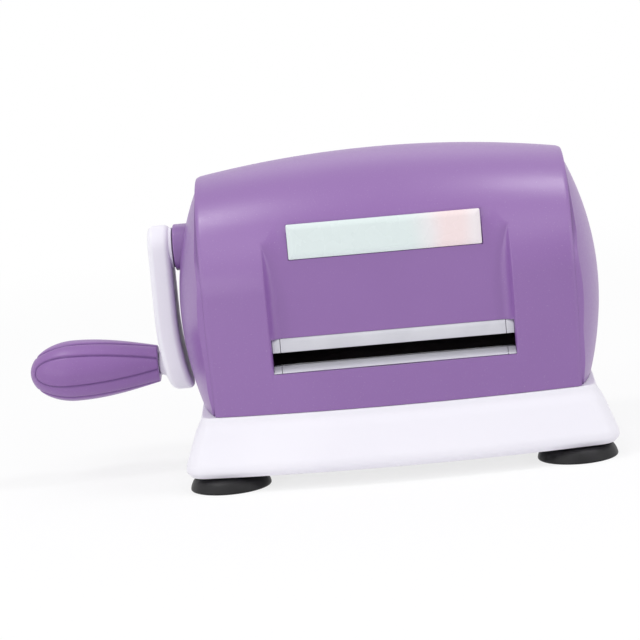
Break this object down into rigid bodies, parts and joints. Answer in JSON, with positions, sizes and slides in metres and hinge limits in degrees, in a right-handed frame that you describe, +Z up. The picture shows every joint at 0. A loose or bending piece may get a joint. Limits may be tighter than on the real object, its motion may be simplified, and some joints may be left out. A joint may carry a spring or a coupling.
{
  "type": "die cutting machine",
  "caption": "Small hand-cranked roller die cutting machine: crowned housing on a flared base with suction cups, slot for a plate stack, side crank with a spinning grip.",
  "frame": {"origin": "on the table, under the middle of the whole machine with its crank", "axes": "+X along the rollers away from the crank, +Y from the front slot to the rear slot, +Z up"},
  "size_m": [0.215, 0.105, 0.115],
  "materials": {
    "purple_plastic": "fine matte moulding",
    "grip_plastic": "soft satin moulding",
    "white_plastic": "satin moulding",
    "bare_plate": "clear gloss over a soft tint",
    "silver_trim": "bright satin",
    "cup_rubber": "soft satin",
    "roller_coat": "black satin",
    "frame_steel": "zinc plated sheet",
    "bright_steel": "bright turned",
    "spring_steel": "blackened",
    "bush_metal": "sintered bronze",
    "gear_plastic": "natural acetal"
  },
  "bodies": {
    "housing": {"base": "white_plastic", "base_plate": "white_plastic", "front_left_cup": "cup_rubber", "front_right_cup": "cup_rubber", "rear_left_cup": "cup_rubber", "rear_right_cup": "cup_rubber", "front_cover": "purple_plastic", "rear_cover": "purple_plastic", "left_side_cap": "purple_plastic", "right_side_cap": "purple_plastic", "nameplate": "bare_plate", "front_slot_trim": "silver_trim", "rear_slot_trim": "silver_trim", "left_frame_plate": "frame_steel", "right_frame_plate": "frame_steel", "front_tie_bar": "frame_steel", "rear_tie_bar": "frame_steel", "upper_left_bush": "bush_metal", "upper_right_bush": "bush_metal", "lower_left_bush": "bush_metal", "lower_right_bush": "bush_metal", "crank_frame_bush": "bush_metal", "crank_hub_bush": "bush_metal", "frame_screws": "bright_steel", "cover_screws": "bright_steel", "base_plate_screws": "bright_steel", "tie_bar_screws": "bright_steel"},
    "crank": {"crank_shaft": "bright_steel", "drive_pinion": "gear_plastic", "crank_clip": "spring_steel", "crank_arm": "white_plastic", "crank_screw": "bright_steel", "grip_spindle": "bright_steel"},
    "grip": {"grip": "grip_plastic"},
    "upper_roller": {"upper_shaft": "bright_steel", "upper_roller": "roller_coat", "upper_gear": "gear_plastic", "upper_clips": "spring_steel"},
    "lower_roller": {"lower_shaft": "bright_steel", "lower_roller": "roller_coat", "lower_gear": "gear_plastic", "lower_clips": "spring_steel"}
  },
  "joints": [
    {"name": "crank_turn", "type": "hinge", "parent": "housing", "child": "crank", "pos_m": [0.02883, 0, 0.08413], "axis": [1, 0, 0], "continuous": true},
    {"name": "grip_spin", "type": "hinge", "parent": "crank", "child": "grip", "pos_m": [0.02883, 0, 0.04113], "axis": [1, 0, 0], "continuous": true},
    {"name": "upper_roller_spin", "type": "hinge", "parent": "housing", "child": "upper_roller", "pos_m": [0.02883, 0, 0.06037], "axis": [1, 0, 0], "continuous": true},
    {"name": "lower_roller_spin", "type": "hinge", "parent": "housing", "child": "lower_roller", "pos_m": [0.02883, 0, 0.02913], "axis": [1, 0, 0], "continuous": true}
  ],
  "couplings": [
    {"joint": "upper_roller_spin", "follows": "crank_turn", "ratio": -0.52},
    {"joint": "lower_roller_spin", "follows": "crank_turn", "ratio": 0.52}
  ]
}
